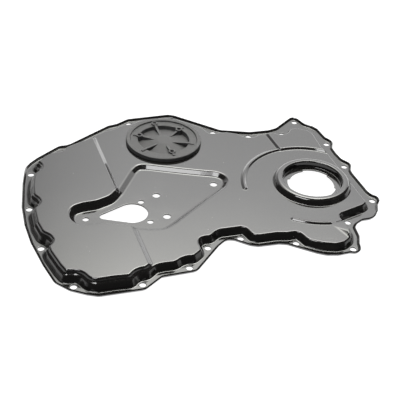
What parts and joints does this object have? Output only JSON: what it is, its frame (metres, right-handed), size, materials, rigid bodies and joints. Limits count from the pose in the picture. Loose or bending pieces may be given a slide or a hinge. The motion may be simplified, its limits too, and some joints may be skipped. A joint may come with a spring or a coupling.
{
  "type": "timing cover",
  "caption": "Pressed steel engine timing cover with a crank seal collar, a sunk seat with a teardrop opening, and a round plastic access plug.",
  "frame": {"origin": "middle of the cover's box, on its sealing face", "axes": "+Z out of the engine, away from the sealing face; +X along the cover's longer side, towards the crank bore"},
  "size_m": [0.3958, 0.35, 0.016],
  "materials": {
    "cover_paint": "semi-gloss black paint on pressed steel sheet",
    "plug_plastic": "moulded black plastic with a fine grain",
    "seal_rubber": "matt black rubber"
  },
  "bodies": {
    "root": {"cover_pressing": "cover_paint", "access_plug": "plug_plastic", "plug_seal_ring": "seal_rubber"}
  },
  "joints": []
}
